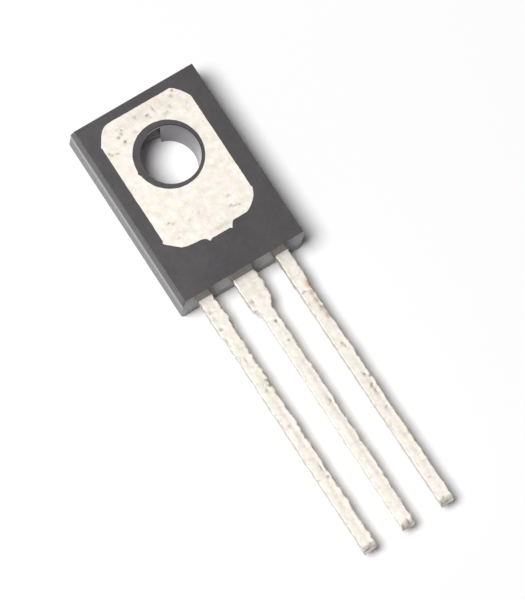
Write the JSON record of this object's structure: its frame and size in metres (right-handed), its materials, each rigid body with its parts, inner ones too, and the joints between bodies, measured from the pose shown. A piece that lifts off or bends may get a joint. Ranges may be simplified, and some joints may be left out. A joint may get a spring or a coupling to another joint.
{
  "type": "thyristor",
  "caption": "Thyristor in a flat moulded power package, with a screw hole through its bare metal pad and long straight leads in a row.",
  "frame": {"origin": "axis of the screw hole, in the plane of the moulded front face that the part lies on", "axes": "+Z out of the metal pad along the screw hole's axis; the leads run along -Y; +X toward the cathode lead, -X toward the gate lead"},
  "size_m": [0.0076, 0.0269, 0.0026],
  "materials": {
    "epoxy": "matte, finely grained moulding",
    "tinned_copper": "pale matte tin plate with fine marks",
    "silicon": "polished",
    "solder": "satin",
    "bond_wire": "bright"
  },
  "bodies": {
    "root": {"moulded_body": "epoxy", "heat_spreader": "tinned_copper", "gate_lead": "tinned_copper", "cathode_lead": "tinned_copper", "chip": "silicon", "chip_solder": "solder", "cathode_wire": "bond_wire", "gate_wire": "bond_wire"}
  },
  "joints": []
}
